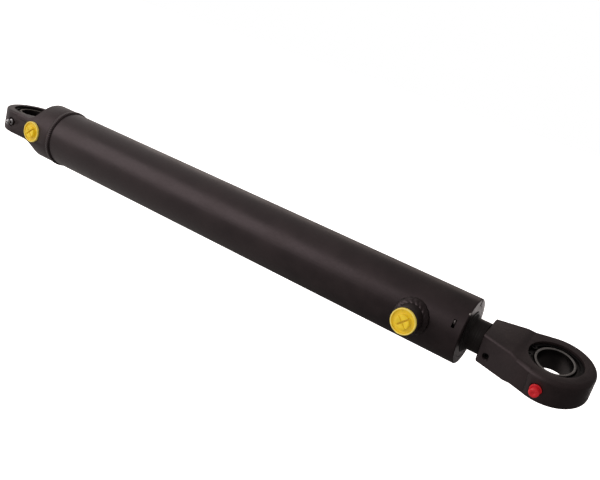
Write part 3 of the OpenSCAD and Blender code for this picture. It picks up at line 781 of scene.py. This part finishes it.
def rod():
    """The rod in one turned piece: threaded tail, shoulder, chromed length and threaded stud."""
    tail_end, nut_end = 54.0, 75.0
    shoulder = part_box("piston")[1].x / MM + 0.05
    neck = ROD_EYE_AT.x / MM - NECK_FROM_EYE
    stud_end = neck + 28.0
    chamfer, core, pitch = 1.2, 0.05, 1.5
    outline = rounded([
        (tail_end, core), (tail_end, TAIL_RADIUS - chamfer), (tail_end + chamfer, TAIL_RADIUS),
        (nut_end, TAIL_RADIUS), (shoulder, TAIL_RADIUS),
        (shoulder, ROD_RADIUS - 0.8), (shoulder + 0.8, ROD_RADIUS), (neck, ROD_RADIUS), (neck, STUD_RADIUS),
        (stud_end - chamfer, STUD_RADIUS), (stud_end, STUD_RADIUS - chamfer), (stud_end, core)
    ], [0.0, 0.2, 0.2, 0.1, 0.4, 0.2, 0.3, 0.5, 0.3, 0.2, 0.2, 0.0], 3)

    def parts(here, ahead):
        threaded = here.y < STUD_RADIUS + 0.1 and 15 < ahead.x - here.x < 30
        return int(6 * (ahead.x - here.x) / pitch) if threaded else 1

    def swell(along, radius, turn):
        on_tail = tail_end + 1.5 < along < nut_end - 0.5
        on_stud = neck + 0.5 < along < stud_end - 1.5
        if radius > TAIL_RADIUS - 0.1 and (on_tail or on_stud):
            radius -= thread_depth(along, pitch, 0.8)
        return along, radius
    fine = divided(outline, parts)
    bar = lathe("rod_bar", fine, BARREL_FRAME, "chromed_rod", 96, closed=False, swell=swell)
    mount(bar, "piston_rod", "rod", "chromed_rod")


# ---- forgings ----

def softened(name, node, body, width):
    """A copy of a CAD forging whose sharp edges are rounded over."""
    mesh = frame["nodes"][node].data.copy()
    mesh.name = name
    work = bmesh.new()
    work.from_mesh(mesh)
    bmesh.ops.remove_doubles(work, verts=work.verts, dist=0.002 * MM)
    bmesh.ops.dissolve_limit(work, angle_limit=math.radians(0.4), verts=work.verts, edges=work.edges)
    work.to_mesh(mesh)
    work.free()
    mesh.materials.clear()
    mesh.materials.append(MATERIALS["forging_paint"])
    piece = new_piece(name, mesh)
    bevel = piece.modifiers.new("bevel", "BEVEL")
    bevel.width = width
    bevel.segments = 3
    bevel.limit_method = "ANGLE"
    bevel.angle_limit = math.radians(28)
    bevel.use_clamp_overlap = True
    bpy.context.view_layer.objects.active = piece
    piece.select_set(True)
    bpy.ops.object.modifier_apply(modifier=bevel.name)
    piece.select_set(False)
    shade(piece.data)
    mount(piece, node, body, "black_paint")


# ---- stage ----

CAMERA_TARGET = Vector((0.39538, 0.00302, 0.00855))
CAMERA_DISTANCE = 0.71576
CAMERA_AZIMUTH = math.radians(26.568)
CAMERA_ELEVATION = math.radians(17.552)
CAMERA_ROLL = math.radians(16.769)
CAMERA_LENS = 43.2265
SENSOR_WIDTH = 36.0

LIT_POINT = Vector((0.33, 0.0, 0.0))
WARM = (1.0, 0.93, 0.91)
# name, azimuth and elevation in degrees, distance, width and height in metres, watts, colour
LIGHTS = (
    ("key_light", -40.0, 24.0, 1.5, (1.35, 0.95), 5.4, WARM),
    ("back_light", 200.0, 22.0, 1.8, (1.8, 0.9), 2.1, (1.0, 0.84, 0.76)),
    ("low_back_card", 150.0, -9.0, 1.2, (0.8, 0.35), 1.0, WARM),
)

WORLD_TINT = (1.0, 0.92, 0.89, 1.0)
WORLD_DIM, WORLD_BRIGHT = 0.09, 0.60    # the walls' strength away from the base end and behind it
WORLD_TOP = 0.08                        # added overhead
WORLD_FILL = 0.50                       # added to the light that reaches matt surfaces
WORLD_REAR = (-0.98, -0.196, 0.0)       # towards the base end
WHITE = (1.0, 1.0, 1.0, 1.0)

FLOOR_DROP = 0.25
FLOOR_HALF = 6.0


def direction(azimuth, elevation):
    """Unit vector from the object towards azimuth and elevation; azimuth 0 is -Y, 90 degrees is +X."""
    flat = math.cos(elevation)
    return Vector((math.sin(azimuth) * flat, -math.cos(azimuth) * flat, math.sin(elevation)))


def make_camera():
    back = direction(CAMERA_AZIMUTH, CAMERA_ELEVATION)
    level = Vector((math.cos(CAMERA_AZIMUTH), math.sin(CAMERA_AZIMUTH), 0.0))
    rise = back.cross(level)
    right = math.cos(CAMERA_ROLL) * level + math.sin(CAMERA_ROLL) * rise
    up = math.cos(CAMERA_ROLL) * rise - math.sin(CAMERA_ROLL) * level
    data = bpy.data.cameras.new("camera")
    data.lens = CAMERA_LENS
    data.sensor_width = SENSOR_WIDTH
    data.clip_start, data.clip_end = 0.01, 50.0
    camera = new_piece("camera", data)
    turn = Matrix((right, up, back)).transposed()
    camera.matrix_world = Matrix.Translation(CAMERA_TARGET + CAMERA_DISTANCE * back) @ turn.to_4x4()
    bpy.context.scene.camera = camera


def make_lights():
    """Rectangular softboxes that face the middle of the cylinder."""
    for name, azimuth, elevation, distance, size, watts, colour in LIGHTS:
        data = bpy.data.lights.new(name, "AREA")
        data.shape = "RECTANGLE"
        data.size, data.size_y = size
        data.energy = watts
        data.color = colour
        light = new_piece(name, data)
        toward = direction(math.radians(azimuth), math.radians(elevation))
        light.location = LIT_POINT + distance * toward
        light.rotation_mode = "QUATERNION"
        light.rotation_quaternion = (-toward).to_track_quat("-Z", "Y")


def make_world():
    """Pure white behind the object; the light on it is a soft gradient, brighter at the base end."""
    world = bpy.data.worlds.new("studio")
    world.use_nodes = True
    bpy.context.scene.world = world
    tree = world.node_tree
    tree.nodes.clear()

    def made(kind, inputs=None, **settings):
        return add_node(tree, kind, inputs, **settings).outputs

    def multiply_add(value, factor, more):
        return made("ShaderNodeMath", {0: value, 1: factor, 2: more}, operation="MULTIPLY_ADD")[0]

    towards = made("ShaderNodeTexCoord")["Generated"]
    height = made("ShaderNodeSeparateXYZ", {0: towards})["Z"]
    rear = made("ShaderNodeVectorMath", {0: towards, 1: WORLD_REAR}, operation="DOT_PRODUCT")["Value"]
    upper = made("ShaderNodeMapRange", {0: height, 1: -0.3, 2: 0.3})[0]
    lifted = multiply_add(upper, 0.26, rear)
    glow = made("ShaderNodeMapRange", {0: lifted, 1: 0.3, 2: 0.8, 3: WORLD_DIM, 4: WORLD_BRIGHT})[0]
    path = made("ShaderNodeLightPath")
    strength = multiply_add(path["Is Diffuse Ray"], WORLD_FILL, multiply_add(upper, WORLD_TOP, glow))
    light = made("ShaderNodeBackground", {"Color": WORLD_TINT, "Strength": strength})
    seen = made("ShaderNodeBackground", {"Color": WHITE})
    mix = made("ShaderNodeMixShader", {0: path["Is Camera Ray"], 1: light[0], 2: seen[0]})
    made("ShaderNodeOutputWorld", {"Surface": mix[0]})


def make_floor():
    """A plain white floor some way under the cylinder, which hangs in soft light."""
    height = CAD_BOX[0].z - FLOOR_DROP
    mesh = bpy.data.meshes.new("floor")
    corners = [(x * FLOOR_HALF, y * FLOOR_HALF, height) for x, y in ((-1, -1), (1, -1), (1, 1), (-1, 1))]
    mesh.from_pydata(corners, [], [(0, 1, 2, 3)])
    floor = new_piece("floor", mesh)
    floor.visible_glossy = False
    floor.visible_diffuse = False
    floor.visible_shadow = False
    paint = Paint("floor_white", (0.9, 0.9, 0.9), 0.8, sockets={
        "Emission Color": WHITE, "Emission Strength": 1.0})
    mesh.materials.append(paint.material)


# ---- build ----

bpy.context.scene.view_settings.view_transform = "Standard"
make_camera()
make_lights()
make_world()
make_floor()
MATERIALS = {name: maker(name, *given) for name, (maker, *given) in RECIPES.items()}
dress_cad()
base_weld()
boss_weld()
port_boss()
wiper()
lock_wire()
seal_rings()
transport_plug("rod_plug_moulding", port_side(ROD_PORT_X, -BOSS_TOP), "rod_port_plug")
transport_plug("base_plug_moulding", port_side(BASE_PORT_X, -SPOT_TOP), "base_port_plug")
# the base bearing's ring faces are darker than the rod bearing's
bearing("base", "barrel", BASE_EYE_FRAME, Matrix.Identity(4), "oiled_steel")
bearing("rod", "rod", ROD_EYE_FRAME, Matrix.Rotation(ROD_BALL_TILT, 4, "X"), "bearing_steel")
grease_nipple("base_nipple", BASE_NIPPLE_FRAME, "base_grease_nipple", "barrel", True)
grease_nipple("rod_nipple", ROD_NIPPLE_FRAME, "rod_grease_nipple", "rod", False)
nipple_cap()
rod()
softened("base_forging", "base_end_cap", "barrel", 0.5 * MM)
softened("eye_forging", "rod_eye", "rod", 0.7 * MM)
